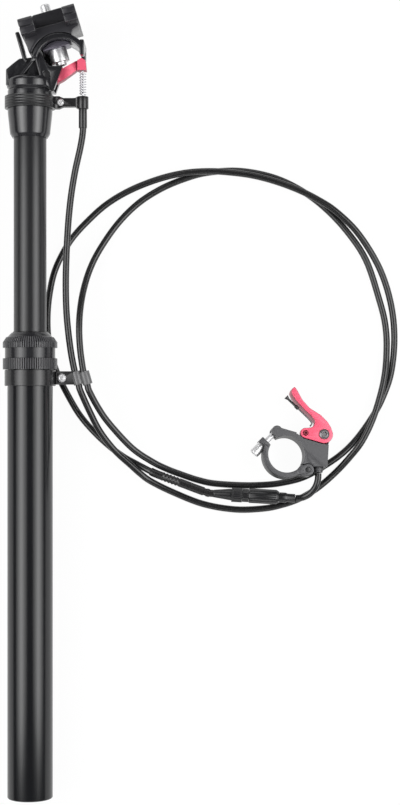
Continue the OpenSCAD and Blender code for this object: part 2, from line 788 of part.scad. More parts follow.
module stop_nut() {
    color("silver") translate([stop_bolt_x, stop_y + stop_w / 2, -4.6]) difference() {
        cylinder(h = 2.2, d = 5.6, $fn = 6);
        translate([0, 0, -1]) cylinder(h = 4, d = stop_bolt_d + 2 * seat);
    }
}

module housing_ferrule() {
    top = stop_y + 2.9;
    foot = top - ferrule_len;
    color("#202123") translate([cable_x, 0, 0]) turned([
        [housing_d / 2 + 0.1, foot], [ferrule_d / 2, foot], [ferrule_d / 2, top],
        [wire_d / 2 + 0.3, top], [wire_d / 2 + 0.3, stop_y - 1.8], [housing_d / 2 + 0.1, stop_y - 1.8]
    ]);
}

// Saddle clamp
module rail_cuts() {
    for (side = [-1, 1])
        translate([0, split_y, side * rail_gap / 2]) rotate([0, 90, 0])
            cylinder(h = 3 * clamp_len, d = rail_d, center = true);
}

module end_blocks(from, to) {
    for (span = [[-clamp_half, waist[0]], [waist[1], clamp_half]])
        translate([span[0], from, -clamp_w / 2]) cube([span[1] - span[0], to - from, clamp_w]);
}

module along_bolt(r, from, to) {
    translate([0, from, 0]) rotate([-90, 0, 0]) cylinder(h = to - from, r = r);
}

module lower_cradle() {
    top = split_y - split_half;
    front = clamp_half - 0.9;
    color("#1a1b1d") saddle_frame() difference() {
        union() {
            slab([
                [-front, top], [-front, 11.2], [-11, 8], [10.4, 13.5], [12.6, 16.4], [front, 17.6],
                [front, top]
            ], 13);
            end_blocks(split_y - lip_h, top);
        }
        translate([0, 0, -20]) cylinder(h = 40, r = arch_r + pass, $fn = 128);
        rail_cuts();
        along_bolt(bolt_d / 2 + 0.3, 0, 40);
    }
}

module upper_cap() {
    foot = split_y + split_half;
    top = split_y + cap_h;
    edge = 1.6;
    color("#1a1b1d") saddle_frame() difference() {
        union() {
            slab([
                [waist[0] - 1, foot], [waist[0] - 1, top + cap_rise - 0.8], [waist[0] + 0.6, top + cap_rise],
                [waist[1] - 0.6, top + cap_rise], [waist[1] + 1, top + cap_rise - 0.8], [waist[1] + 1, foot]
            ], waist_w / 2);
            for (span = [[-clamp_half, waist[0]], [waist[1], clamp_half]])
                translate([span[0], 0, 0]) rotate([0, 90, 0]) linear_extrude(span[1] - span[0]) polygon([
                    [-clamp_w / 2, foot], [-clamp_w / 2, top - edge], [-clamp_w / 2 + edge, top],
                    [clamp_w / 2 - edge, top], [clamp_w / 2, top - edge], [clamp_w / 2, foot]
                ]);
        }
        rail_cuts();
        along_bolt(bolt_d / 2 + seat, 0, 40);
    }
}

module clamp_bolt() {
    disc_h = 2;
    color("silver") saddle_frame() difference() {
        union() {
            along_bolt(bolt_d / 2, bolt_seat - 1, bolt_reach - 0.8);
            translate([0, bolt_reach - 0.8, 0]) rotate([-90, 0, 0])
                cylinder(h = 0.8, r1 = bolt_d / 2, r2 = bolt_d / 2 - 0.7);
            along_bolt(bolt_head_d / 2, bolt_seat - bolt_head_h, bolt_seat);
            along_bolt(bolt_d / 2 + 0.2, bolt_seat - bolt_head_h - disc_h, bolt_seat - bolt_head_h);
        }
        translate([0, bolt_seat - bolt_head_h - disc_h - 1, 0]) rotate([-90, 0, 0])
            cylinder(h = 5, d = 4.6, $fn = 6);
    }
}

module curved_washer() {
    outer = arch_in - pass;
    half = 8.2;
    color("gray") saddle_frame() difference() {
        intersection() {
            translate([0, 0, -7]) cylinder(h = 14, r = outer, $fn = 128);
            translate([-half, bolt_seat, -10]) cube([2 * half, outer, 20]);
        }
        along_bolt(bolt_d / 2 + 0.1, 0, 30);
    }
}

module bolt_clip() {
    foot = split_y + cap_h + cap_rise;
    color("silver") saddle_frame() difference() {
        along_bolt(bolt_d / 2 + 1.2, foot, foot + 0.8);
        along_bolt(bolt_d / 2 + seat, foot - 1, foot + 2);
    }
}

// Housing of the cable
upper_path = smooth(upper_route, 2);
loop_path = smooth([for (p = loop_route) laid(p)], 2);
tail_path = smooth([for (p = tail_route) laid(p)], 3);
boot_path = smooth([for (p = boot_route) laid(p)], 4);
loop_fine = smooth([for (p = loop_route) laid(p)], 6);
echo(loop_least_gap = least_gap(loop_fine, 24, housing_d));

module housing_upper() {
    color("#101112") cord(upper_path, housing_d);
}

module housing_loops() {
    color("#101112") cord(loop_path, housing_d);
}

module housing_tail() {
    color("#101112") cord(tail_path, housing_d);
}

// Inline adjuster: a screw carries a lock ring, a collar, a turning barrel and a ferrule
module barrel_frame() {
    along = barrel_end - barrel_start;
    translate(barrel_start) rotate([0, 0, atan2(along.y, along.x)])
        rotate([0, -asin(along.z / barrel_run), 0]) rotate([0, 90, 0]) children();
}

module lathe(profile) {
    barrel_frame() rotate_extrude() polygon(profile);
}

hollow_r = hollow_screw_d / 2;
ring_x = nozzle_len;
collar_x = ring_x + ring_w;
barrel_x = collar_x + collar_w;
ferrule_x = barrel_x + barrel_len;

module adjuster_boot() {
    color("#232325") tube(boot_path, boot_radii, 12);
}

module adjuster_screw() {
    color("#232325") lathe([
        [0.8, 0.1], [2.3, 0.1], [hollow_r + 1.2, ring_x - 0.1], [hollow_r, ring_x - 0.1],
        [hollow_r, ferrule_x + 3], [0.8, ferrule_x + 3]
    ]);
}

module adjuster_ring() {
    r = barrel_d / 2;
    color("#1b1b1d") barrel_frame() translate([0, 0, ring_x]) difference() {
        linear_extrude(ring_w - 0.1)
            polygon([for (i = [0:47]) (r - (i % 2) * 0.3) * [cos(7.5 * i), sin(7.5 * i)]]);
        translate([0, 0, -1]) cylinder(h = ring_w + 2, r = hollow_r + seat);
    }
}

module adjuster_collar() {
    color("#232325") lathe([
        [hollow_r + seat, collar_x], [barrel_d / 2 - 0.4, collar_x],
        [barrel_d / 2 - 0.4, barrel_x - 0.1], [hollow_r + seat, barrel_x - 0.1]
    ]);
}

module adjuster_barrel() {
    r = barrel_d / 2;
    end = ferrule_x - 0.1;
    color("#161618") lathe([
        [hollow_r + run, barrel_x], [r - 0.3, barrel_x], [r, barrel_x + 0.6], [r, end - 1.6],
        [r - 1, end], [hollow_r + run, end]
    ]);
}

module adjuster_ferrule() {
    color("#232325") lathe([
        [hollow_r + seat, ferrule_x], [3.1, ferrule_x], [3.1, ferrule_x + 4], [2.6, ferrule_x + 5],
        [2.6, barrel_run - 0.05], [0.8, barrel_run - 0.05], [0.8, ferrule_x + 3.1],
        [hollow_r + seat, ferrule_x + 3.1]
    ]);
}

// Remote for the handlebar
module remote_frame() {
    translate([remote_at.x, remote_at.y, rest_z(remote_at.y) + remote_h])
        rotate([-remote_lean, remote_roll, 0]) children();
}

module ring_part(from, to, low, high) {
    intersection() {
        translate([0, 0, low]) cylinder(h = high - low, r = ring_r, $fn = 128);
        plate(concat([[0, 0]], arc([0, 0], 40, from, to, 8)), low - 1, high + 1);
    }
}

module bar_hole() {
    translate([0, 0, -1]) cylinder(h = remote_w + 2, r = bar_r, $fn = 128);
}

module screw_line(r, from, to) {
    translate([bolt_from.x, bolt_from.y, remote_mid]) rotate([0, 0, bolt_turn]) translate([from, 0, 0])
        rotate([0, 90, 0]) cylinder(h = to - from, r = r);
}

module remote_body() {
    screw_room = remote_screw_d / 2 + 0.9;
    color("#4a4b4f") remote_frame() difference() {
        union() {
            ring_part(-30, 104, 0, remote_w);
            plate([
                [-8, 12.6], [-7.4, 15.8], [-5.2, lug_c.y + lug_r - 0.4], [-3, 16], [1, 14.8], [6.5, 13.2],
                [4, 9], [-4, 9]
            ], 0, remote_w);
            pin_z(lug_c, lug_r, 0, remote_w);
            plate([
                [10, 9.3], [11.5, 9.2], [21.5, 6.2], [25.8, body_top], [24.7, body_low], [16.4, body_low],
                [hinge.x + 1, body_low - 1], [9.5, -4]
            ], 0, remote_w);
            plate([
                [12, 4], [12, 11], [18.6, 13], [thumb_pivot.x - 2, 16], [thumb_pivot.x + tongue_r, 12],
                [24.4, 0]
            ], tongue_z[0], tongue_z[1]);
            pin_z(thumb_pivot, tongue_r, tongue_z[0], tongue_z[1]);
            pin_z(hinge, hinge_r, remote_mid - knuckle_half, remote_mid + knuckle_half);
        }
        bar_hole();
        pin_z(hinge, hinge_r + pass, -1, remote_mid - knuckle_half);
        pin_z(hinge, hinge_r + pass, remote_mid + knuckle_half, remote_w + 1);
        pin_z(hinge, hinge_pin_d / 2 + 0.02, -1, remote_w + 1);
        pin_z(thumb_pivot, thumb_pivot_d / 2 + 0.02, -1, remote_w + 1);
        screw_line(screw_room, lug_from - 6, lug_from + 3 * lug_r);
        arm_way();
    }
}

// Room for the hinged arm beside the fixed knuckles
module arm_way() {
    plate(concat(arc([0, 0], ring_r + 4, -90, -52, 8), [[0, 0]]), -1, remote_w + 1);
}

module remote_clamp_arm() {
    color("#4a4b4f") remote_frame() difference() {
        union() {
            ring_part(-58, -203, 0, remote_w);
            for (leaf = arm_leaves) {
                plate([
                    [5, -10.2], [5.8, 1.3 - ring_r], [hinge.x - 0.3, hinge.y - hinge_r + 0.1], hinge,
                    [9.5, -6]
                ], leaf[0], leaf[1]);
                pin_z(hinge, hinge_r, leaf[0], leaf[1]);
            }
            translate([bolt_from.x, bolt_from.y, 0]) rotate([0, 0, bolt_turn])
                translate([remote_head_h, -4.6, 0.3]) cube([ear_len, 8, remote_w - 0.6]);
        }
        bar_hole();
        pin_z(hinge, hinge_pin_d / 2 + run, -1, remote_w + 1);
        screw_line(remote_screw_d / 2 + seat, 0, 12);
        screw_line(remote_head_d / 2 + pass, -3, remote_head_h);
    }
}

module remote_hinge_pin() {
    color("silver") remote_frame() pin_z(hinge, hinge_pin_d / 2, 0.1, remote_w - 0.1);
}

module remote_screw() {
    color("silver") remote_frame() difference() {
        union() {
            screw_line(remote_head_d / 2, 0, remote_head_h);
            screw_line(remote_screw_d / 2, remote_head_h, lug_from + 1.6 * lug_r);
        }
        translate([bolt_from.x, bolt_from.y, remote_mid]) rotate([0, 0, bolt_turn]) translate([-1, 0, 0])
            rotate([0, 90, 0]) cylinder(h = 3, d = 3, $fn = 6);
    }
}

module remote_stop() {
    color("#2c2d30") remote_frame() translate([stop_x, 0, remote_mid]) turned([
        [0.8, body_low - 3.2], [2.5, body_low - 3.2], [2.7, body_low - 2], [3.1, body_low - 2],
        [3.1, body_low - 0.1], [0.8, body_low - 0.1]
    ]);
}

// Thumb lever: its root turns on the body and its paddle is as wide as the body
thumb_outline = concat(
    arc(thumb_pivot, thumb_r, -100, 10, 10),
    [[27.6, 16], [25.7, 19.4], [21.5, 23.8], [14.8, 28.1], [10.4, 33.2], [7.8, 38.4], [6.1, 41.1]],
    [[4.6, 40.2], [3.8, 38], [5, 35], [7.4, 31.8], [11, 27.8], [15.4, 23.6], [17.9, 20.4], [17.2, 17.4]],
    [[15.4, 16.2]],
    arc(anchor, anchor_r, 80, 250, 10)
);

module thumb_lever() {
    low = 0.4;
    color("#e0485c") remote_frame() difference() {
        union() {
            plate(thumb_outline, thumb_z, remote_w);
            plate([
                [26.9, 17.2], [25.7, 19.4], [21.5, 23.8], [14.8, 28.1], [10.4, 33.2], [7.8, 38.4],
                [6.1, 41.1], [4.6, 40.2], [3.8, 38], [5, 35], [7.4, 31.8], [11, 27.8], [15.4, 23.6],
                [17.9, 20.4]
            ], low, thumb_z + 0.1);
        }
        pin_z(thumb_pivot, thumb_pivot_d / 2 + run, -1, remote_w + 1);
        pin_z(anchor, anchor_d / 2 + seat, -1, remote_w + 1);
    }
}

module thumb_pivot_screw() {
    color("gray") remote_frame()
        button_screw(thumb_pivot, thumb_pivot_d, tongue_z[0], remote_w + seat, 6.2, 1.4);
}

module wire_anchor() {
    color("#8c2534") remote_frame() difference() {
        pin_z(anchor, anchor_d / 2, thumb_z, remote_w + 0.3);
        translate([anchor.x, anchor.y, remote_w - 1]) cylinder(h = 3, d = 1.5, $fn = 6);
    }
}

wire_tail_path = smooth(wire_tail_route, 3);
wire_end = wire_tail_route[len(wire_tail_route) - 1];

module wire_tail() {
    color("silver") remote_frame() tube(wire_tail_path, [for (p = wire_tail_path) wire_tail_d / 2], 6);
}

module wire_end_cap() {
    along = heading(wire_tail_path, len(wire_tail_path) - 1);
    color("#141416") remote_frame() translate(wire_end + 0.05 * along) rotate([0, 0, atan2(along.y, along.x)])
        rotate([0, 90, 0]) rotate_extrude() polygon([
            [0, 0], [end_cap_d / 2, 0], [end_cap_d / 2, 2.4], [end_cap_d / 2 - 0.35, 2.8],
            [end_cap_d / 2 - 0.35, end_cap_len - 2], [end_cap_d / 2 + 0.4, end_cap_len], [0, end_cap_len]
        ]);
}

lower_tube();
bottom_plug();
foot_bolt();
piston_rod();
piston();
upper_bush();
wiper_seal();
collar_cap();
lock_ring();
guide_band();
cable_guide();
guide_screw();
stanchion();
stanchion_bush();
guide_keys();
gas_cylinder();
cylinder_gland();
valve_head();
valve_stem();
head();
lever_pivot_pin();
head_lever();
wire_barrel();
inner_wire();
return_spring();
cable_stop();
stop_screw();
stop_nut();
housing_ferrule();
lower_cradle();
upper_cap();
clamp_bolt();
curved_washer();
bolt_clip();
housing_upper();
housing_loops();
housing_tail();
adjuster_boot();
adjuster_screw();
adjuster_ring();
adjuster_collar();
adjuster_barrel();
adjuster_ferrule();
remote_body();
remote_clamp_arm();
remote_hinge_pin();
remote_screw();
remote_stop();
thumb_lever();
thumb_pivot_screw();
wire_anchor();
wire_tail();
wire_end_cap();
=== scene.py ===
import json
import math
from math import cos, sin, radians, pi
import bpy
import bmesh
from mathutils import Matrix, Vector
from mathutils.bvhtree import BVHTree
from mathutils.geometry import intersect_point_line


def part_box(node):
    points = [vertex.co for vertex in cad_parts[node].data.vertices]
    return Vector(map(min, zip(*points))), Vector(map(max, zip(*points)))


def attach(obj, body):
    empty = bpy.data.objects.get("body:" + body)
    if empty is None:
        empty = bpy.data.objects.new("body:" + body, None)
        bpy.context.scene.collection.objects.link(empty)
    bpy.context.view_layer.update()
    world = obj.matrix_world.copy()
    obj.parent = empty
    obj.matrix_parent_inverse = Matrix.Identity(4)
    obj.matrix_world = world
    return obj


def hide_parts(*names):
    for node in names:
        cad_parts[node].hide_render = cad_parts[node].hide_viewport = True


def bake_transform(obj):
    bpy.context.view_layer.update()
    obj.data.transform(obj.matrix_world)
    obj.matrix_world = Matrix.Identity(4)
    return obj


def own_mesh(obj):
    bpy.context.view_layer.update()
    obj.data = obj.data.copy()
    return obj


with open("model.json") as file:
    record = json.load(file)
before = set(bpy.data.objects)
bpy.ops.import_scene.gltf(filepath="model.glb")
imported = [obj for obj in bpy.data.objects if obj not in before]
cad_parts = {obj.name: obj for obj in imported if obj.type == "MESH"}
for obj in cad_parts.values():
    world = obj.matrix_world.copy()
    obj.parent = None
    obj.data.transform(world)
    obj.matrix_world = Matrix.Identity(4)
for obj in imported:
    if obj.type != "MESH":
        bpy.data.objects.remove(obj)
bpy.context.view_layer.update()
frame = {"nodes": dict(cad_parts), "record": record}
NODES = frame["nodes"]
BODY = {node: body for body, nodes in frame["record"]["behaviour"]["bodies"].items() for node in nodes}
SLOT = {part["node"]: part["material_slot"] for part in frame["record"]["subparts"]}
MM = 0.001
scene = bpy.context.scene
root = scene.collection

# Resting plane, in millimetres, as in the solids: it touches the tube's lower end and the rail clamp's side
TUBE_R = 13.6
CLAMP_SIDE = 26.5
HEAD_Y = 395.2
ARCH_Y = HEAD_Y + 43.3
RAIL_SLOPE = radians(16)
CLAMP_HALF = 17.3
CLAMP_LIP = 18.9
REST_Y = ARCH_Y - CLAMP_HALF * sin(RAIL_SLOPE) + CLAMP_LIP * cos(RAIL_SLOPE)
REST_SLOPE = (CLAMP_SIDE - TUBE_R) / REST_Y


def rest_z(y):
    return -TUBE_R - REST_SLOPE * y


def laid(points):
    """Points whose last number is a height over the resting plane."""
    return [Vector((x, y, rest_z(y) + h)) for x, y, h in points]


# Routes of the cable housing, in millimetres: the same points as in the solids
UPPER = [Vector(p) for p in (
    (31.6, 410, 0), (31.6, 405, 0), (31.6, 399, 0), (30.2, 390, 0), (27, 376, -1), (24.6, 362, -1.5),
    (23, 348, -2), (22, 334, -2.5), (21.4, 320, -2.5), (21.2, 306, -2.5), (21.6, 292, -2),
    (22.8, 279, -1), (24.6, 266, -0.3), (26.5, 256.4, 0), (27.2, 254, 0), (28.1, 250.8, 0))]
LOOPS = laid((
    (28.2, 250.5, 20.7), (29.2, 247, 20.6), (30.2, 243.6, 20.2), (35.4, 231.5, 16.5), (41.5, 219.3, 12),
    (50, 208, 8.2), (60, 198.7, 6.6), (66, 193.3, 5.4), (72, 188.9, 3.6), (85, 182.4, 2.2),
    (103.7, 175.1, 2.1), (123, 171.8, 2.1), (140, 172.3, 2.1), (151, 174.4, 2.1), (162, 178.2, 2.1),
    (173, 184.6, 2.1), (184, 194, 2.2), (193, 203.8, 4), (200.4, 213.8, 6), (207.5, 229.2, 6.8),
    (213.4, 250, 5.6), (215.4, 268, 3.4), (214.8, 284, 2.2), (211, 300, 2.1), (203, 324, 2.1),
    (191, 342, 2.1), (177, 356.6, 2.1), (162, 367.4, 2.1), (145.2, 374.8, 2.1), (125.2, 378.4, 2.1),
    (106, 377.2, 2.1), (92, 373.4, 2.1), (78, 367.4, 2.1), (64, 358.4, 2.1), (51.6, 346, 2.5),
    (41, 330.4, 4.8), (35, 317.8, 8), (31.4, 305, 12), (29.6, 292.6, 16), (29.2, 280.4, 18.8),
    (30, 268.2, 20.4), (31.6, 257, 20.8), (32.4, 254, 20.7), (33.4, 250.5, 20.7), (34.4, 247, 20.6),
    (35.4, 243.6, 20.2), (40.4, 234, 17), (47, 224.2, 13), (60.4, 209.4, 7), (72.6, 200.9, 3.8),
    (82, 196.2, 2.4), (91, 192.8, 2.1), (100, 189.8, 2.1), (110, 187.6, 2.1), (126, 186.5, 2.1),
    (139, 186.6, 2.1), (151, 187.8, 2.1), (165, 191.4, 2.1), (179.4, 199.4, 2.1), (190, 207.2, 2.1),
    (198.6, 216.4, 2.1), (207.5, 229.2, 2.1), (213.2, 240.1, 2.1), (218, 254, 2.1), (220.2, 272, 2.1),
    (219.4, 290, 2.1), (215.4, 308, 2.1), (208.6, 324, 3), (197.2, 341, 5), (184.4, 353.2, 6.4),
    (174, 360, 6.7), (162.6, 365.8, 6.7), (149, 371, 6.6), (135, 374.8, 6.6), (121, 376.8, 6.6),
    (107, 377.6, 6.6), (92, 376.6, 5.8), (76, 373, 3.8), (59, 366.4, 2.3), (44.6, 357.8, 2.1),
    (33, 347.4, 2.1), (24, 337.4, 2.1), (17.8, 327.4, 2.1), (12.8, 316, 2.1), (10, 303, 2.1),
    (8.8, 290, 2.1), (9.2, 277, 2.1), (11.4, 265, 2.1), (15.2, 253.6, 2.1), (20.6, 242.6, 2.1),
    (28.4, 229.4, 2.1), (37.8, 218.4, 2.1), (47.3, 209.7, 2.1), (55.6, 203.6, 2.1), (63.6, 199.2, 2.3),
    (69, 196.4, 3.2), (72, 194.9, 4)))
TAIL = laid((
    (159.8, 178.8, 7), (164, 179.3, 7.4), (168.2, 181.6, 8.7), (171.4, 185.6, 10.1), (172.9, 190, 10.9),
    (173.2, 194.1, 10.9)))
BOOT = laid((
    (72.3, 194.8, 4), (74.6, 193.7, 4.3), (82, 190.9, 4.8), (91, 187.7, 5.1), (100, 184.3, 5.2),
    (106.4, 182.1, 5.2), (109.8, 181.6, 5.2)))


def smooth(points, steps):
    """A smooth curve through points, with this many steps between two."""
    ends = [2 * points[0] - points[1]] + list(points) + [2 * points[-1] - points[-2]]
    curve = []
    for i in range(len(points) - 1):
        a, b, c, d = ends[i:i + 4]
        for k in range(steps):
            t = k / steps
            curve.append((2 * b + (c - a) * t + (2 * a - 5 * b + 4 * c - d) * t * t
                          + (3 * b - a - 3 * c + d) * t ** 3) / 2)
    return curve + [points[-1]]


def length(path):
    return sum((b - a).length for a, b in zip(path, path[1:]))


# Node groups, in metres where they hold a size
GRAIN_DEPTH = 0.0002
CLOUD_SCALE = 60
KNURL_TEETH = 72
RIDGE_DEPTH = 0.0006


def start_group(name, inputs, outputs):
    """An empty node group with its sockets, and its first and last nodes."""
    group = bpy.data.node_groups.new(name, "ShaderNodeTree")
    for way, sockets in (("INPUT", inputs), ("OUTPUT", outputs)):
        for socket, kind in sockets.items():
            group.interface.new_socket(socket, in_out=way, socket_type="NodeSocket" + kind)
    return group, group.nodes.new("NodeGroupInput"), group.nodes.new("NodeGroupOutput")


def add_nodes(tree, *kinds):
    """New nodes of these kinds. A word in capitals is a Math node's operation."""
    made = []
    for kind in kinds:
        made.append(tree.nodes.new("ShaderNodeMath" if kind.isupper() else "ShaderNode" + kind))
        if kind.isupper():
            made[-1].operation = kind
    return made


def grain_group():
    """Fine unevenness: a roughness that varies a little, and a faint relief."""
    group, given, result = start_group(
        "Fine grain", {"Scale": "Float", "Roughness": "Float", "Spread": "Float", "Relief": "Float"},
        {"Roughness": "Float", "Normal": "Vector"})
    coord, fine, cloud, bump = add_nodes(group, "TexCoord", "TexNoise", "TexNoise", "Bump")
    centred, spread, rough = add_nodes(group, "SUBTRACT", "MULTIPLY", "ADD")
    cloud.inputs["Scale"].default_value = CLOUD_SCALE
    centred.inputs[1].default_value = 0.5
    bump.inputs["Distance"].default_value = GRAIN_DEPTH
    link = group.links.new
    link(coord.outputs["Object"], fine.inputs["Vector"])
    link(coord.outputs["Object"], cloud.inputs["Vector"])
    link(given.outputs["Scale"], fine.inputs["Scale"])
    link(cloud.outputs["Fac"], centred.inputs[0])
    link(centred.outputs[0], spread.inputs[0])
    link(given.outputs["Spread"], spread.inputs[1])
    link(spread.outputs[0], rough.inputs[0])
    link(given.outputs["Roughness"], rough.inputs[1])
    link(fine.outputs["Fac"], bump.inputs["Height"])
    link(given.outputs["Relief"], bump.inputs["Strength"])
    link(rough.outputs[0], result.inputs["Roughness"])
    link(bump.outputs["Normal"], result.inputs["Normal"])
    return group


def side_shade_group():
    """Painted shade: pale on the broad faces, which lie level, and darker on the steep sides and edges, as
    if they lay in shade.
    """
    group, given, result = start_group(
        "Painted side shade", {"Face": "Color", "Edge": "Color"}, {"Color": "Color"})
    coord, part, level = add_nodes(group, "TexCoord", "SeparateXYZ", "ABSOLUTE")
    ramp, mix = add_nodes(group, "MapRange", "Mix")
    ramp.inputs["From Min"].default_value = 0.9
    ramp.inputs["From Max"].default_value = 0.45
    ramp.interpolation_type = "SMOOTHSTEP"
    mix.data_type = "RGBA"
    link = group.links.new
    link(coord.outputs["Normal"], part.inputs["Vector"])
    link(part.outputs["Z"], level.inputs[0])
    link(level.outputs[0], ramp.inputs["Value"])
    link(ramp.outputs["Result"], mix.inputs["Factor"])
    link(given.outputs["Face"], mix.inputs["A"])
    link(given.outputs["Edge"], mix.inputs["B"])
    link(mix.outputs["Result"], result.inputs["Color"])
    return group


def groove_shade_group():
    """Painted shade: dark in the grooves of the knurled rings, which go round the post's own axis."""
    group, given, result = start_group(
        "Painted groove shade", {"Crest": "Color", "Groove": "Color"}, {"Color": "Color"})
    coord, part, ramp, mix = add_nodes(group, "TexCoord", "SeparateXYZ", "MapRange", "Mix")
    sums = add_nodes(group, "ARCTAN2", "MULTIPLY", "FRACT", "SUBTRACT", "ABSOLUTE")
    turn, count, tooth, off, depth = sums
    count.inputs[1].default_value = -KNURL_TEETH / (2 * pi)
    off.inputs[1].default_value = 0.75
    ramp.inputs["From Min"].default_value = 0.26
    ramp.inputs["From Max"].default_value = 0.08
    mix.data_type = "RGBA"
    link = group.links.new
    link(coord.outputs["Object"], part.inputs["Vector"])
    link(part.outputs["Z"], turn.inputs[0])
    link(part.outputs["X"], turn.inputs[1])
    for before, after in zip(sums, sums[1:]):
        link(before.outputs[0], after.inputs[0])
    link(depth.outputs[0], ramp.inputs["Value"])
    link(ramp.outputs["Result"], mix.inputs["Factor"])
    link(given.outputs["Crest"], mix.inputs["A"])
    link(given.outputs["Groove"], mix.inputs["B"])
    link(mix.outputs["Result"], result.inputs["Color"])
    return group


def ridge_group():
    """Fine ridges round the post's own axis."""
    group, given, result = start_group("Ridges", {"Spacing": "Float"}, {"Normal": "Vector"})
    coord, part, bump = add_nodes(group, "TexCoord", "SeparateXYZ", "Bump")
    count, wave = add_nodes(group, "DIVIDE", "PINGPONG")
    wave.inputs[1].default_value = 0.5
    bump.inputs["Distance"].default_value = RIDGE_DEPTH
    link = group.links.new
    link(coord.outputs["Object"], part.inputs["Vector"])
    link(part.outputs["Y"], count.inputs[0])
    link(given.outputs["Spacing"], count.inputs[1])
    link(count.outputs[0], wave.inputs[0])
    link(wave.outputs[0], bump.inputs["Height"])
    link(bump.outputs["Normal"], result.inputs["Normal"])
    return group


GRAIN = grain_group()
EDGES = side_shade_group()
SHADED_GROOVES = groove_shade_group()
RIDGES = ridge_group()


# Materials
def add_group(finish, group):
    node = finish.node_tree.nodes.new("ShaderNodeGroup")
    node.node_tree = group
    return node


def feed(finish, output, socket):
    """Lead a group's output to a socket of the finish's shader."""
    finish.node_tree.links.new(output, finish.node_tree.nodes["Principled BSDF"].inputs[socket])


def material(name, color, rough, metallic=0.0, coat=0.0, spread=0.08, relief=0.03, scale=900.0):
    """A finish with fine grain."""
    finish = bpy.data.materials.new(name)
    finish.use_nodes = True
    finish.diffuse_color = (*color, 1)
    shader = finish.node_tree.nodes["Principled BSDF"]
    shader.inputs["Base Color"].default_value = (*color, 1)
    shader.inputs["Metallic"].default_value = metallic
    shader.inputs["Coat Weight"].default_value = coat
    shader.inputs["Coat Roughness"].default_value = 0.15
    grain = add_group(finish, GRAIN)
    for key, value in (("Scale", scale), ("Roughness", rough), ("Spread", spread), ("Relief", relief)):
        grain.inputs[key].default_value = value
    feed(finish, grain.outputs["Roughness"], "Roughness")
    feed(finish, grain.outputs["Normal"], "Normal")
    return finish


def with_painted_shade(finish, group, second):
    """Mix a finish's own colour with a second, darker one as painted shade, where the group says."""
    shade_node = add_group(finish, group)
    shade_node.inputs[0].default_value = finish.diffuse_color
    shade_node.inputs[1].default_value = (*second, 1)
    feed(finish, shade_node.outputs["Color"], "Base Color")
    return finish


def ridged(finish, spacing):
    """Give a finish ridges this far apart, in metres."""
    ridges = add_group(finish, RIDGES)
    ridges.inputs["Spacing"].default_value = spacing
    feed(finish, ridges.outputs["Normal"], "Normal")
    return finish


TUBE = material("Black anodised tube", (0.007, 0.0073, 0.0085), 0.2, spread=0.04)
SLIDER = material("Black slider", (0.013, 0.0132, 0.0145), 0.29, spread=0.04, relief=0)
FORGED = material("Black forged head", (0.014, 0.014, 0.016), 0.2, coat=0.3, relief=0.04, scale=1400)
CLAMP = material("Black forged clamp", (0.024, 0.0235, 0.027), 0.26, relief=0.05, scale=1400)
RINGS = material("Black collar", (0.016, 0.016, 0.018), 0.2)
PLASTIC = material("Black plastic", (0.014, 0.014, 0.015), 0.23)
RUBBER = material("Black rubber", (0.011, 0.0105, 0.011), 0.27)
HOUSING = material("Housing", (0.009, 0.009, 0.0095), 0.27, coat=0.1, relief=0)
STEEL = material("Bright steel", (0.74, 0.74, 0.75), 0.42, 0.9, spread=0.04, relief=0)
DARK_STEEL = material("Dark steel", (0.16, 0.15, 0.155), 0.36, 0.8, spread=0.04, relief=0)
SPRING = material("Spring steel", (0.55, 0.55, 0.58), 0.25, 1.0, spread=0.02, relief=0)
WASHER = material("Washer steel", (0.16, 0.15, 0.185), 0.36, 0.8, spread=0.04, relief=0)
DARK_PIN = material("Black pin", (0.02, 0.02, 0.021), 0.2, relief=0)
DULL = material("Plain aluminium", (0.5, 0.5, 0.51), 0.4, 1.0)
BUSH = material("Bearing plastic", (0.5, 0.4, 0.22), 0.35)
BRASS = material("Brass", (0.62, 0.44, 0.16), 0.3, 1.0)
# Red and grey: their own colour on the broad faces, with painted shade, a darker tone, on the sides and
# edges
RED = with_painted_shade(material("Red anodised", (0.74, 0.095, 0.165), 0.38, 0.1, spread=0.05, relief=0),
               EDGES, (0.28, 0.018, 0.045))
DARK_RED = material("Dark red screw", (0.2, 0.02, 0.035), 0.36, 0.5, relief=0)
GREY = with_painted_shade(material("Grey anodised", (0.07, 0.07, 0.074), 0.42, 0.2, relief=0.06, scale=1400),
                EDGES, (0.026, 0.026, 0.028))
# Knurling: painted shade, near black, in the grooves between the crests
KNURLED = with_painted_shade(material("Black knurling", (0.05, 0.05, 0.054), 0.24, relief=0),
                   SHADED_GROOVES, (0.001, 0.001, 0.001))
RIDGED = ridged(material("Ridged black band", (0.012, 0.012, 0.013), 0.3), 0.0016)
EYES = material("Plastic eyes", (0.11, 0.11, 0.112), 0.3, relief=0.02)

# The finish of each material slot, and of the nodes that have one of their own
LOOK = {"black_plastic": PLASTIC, "steel": STEEL, "cartridge": DULL, "bush": BUSH, "brass": BRASS,
        "seal": RUBBER, "housing": HOUSING, "red": RED, "grey": GREY, "black_tube": FORGED}
OWN = {"upper_cap": CLAMP, "lower_cradle": CLAMP, "lower_tube": TUBE, "stanchion": SLIDER,
       "collar_cap": RINGS, "lock_ring": KNURLED, "wire_anchor": DARK_RED, "thumb_pivot_screw": DARK_STEEL,
       "lever_pivot_pin": DARK_PIN, "remote_hinge_pin": DARK_PIN, "wire_tail": DARK_STEEL,
       "curved_washer": WASHER}

# Where a second finish starts and ends on some nodes, in millimetres: along the post, out from it and across
KNURL_Y = (269.6, 275.9)
KNURL_R = 13.65
EYES_X = 26.2
BAND_R = (13.7, 17)
BAND_X = 13


def out(p):
    """Distance from the post's axis, in millimetres."""
    return math.hypot(p.x, p.z) / MM


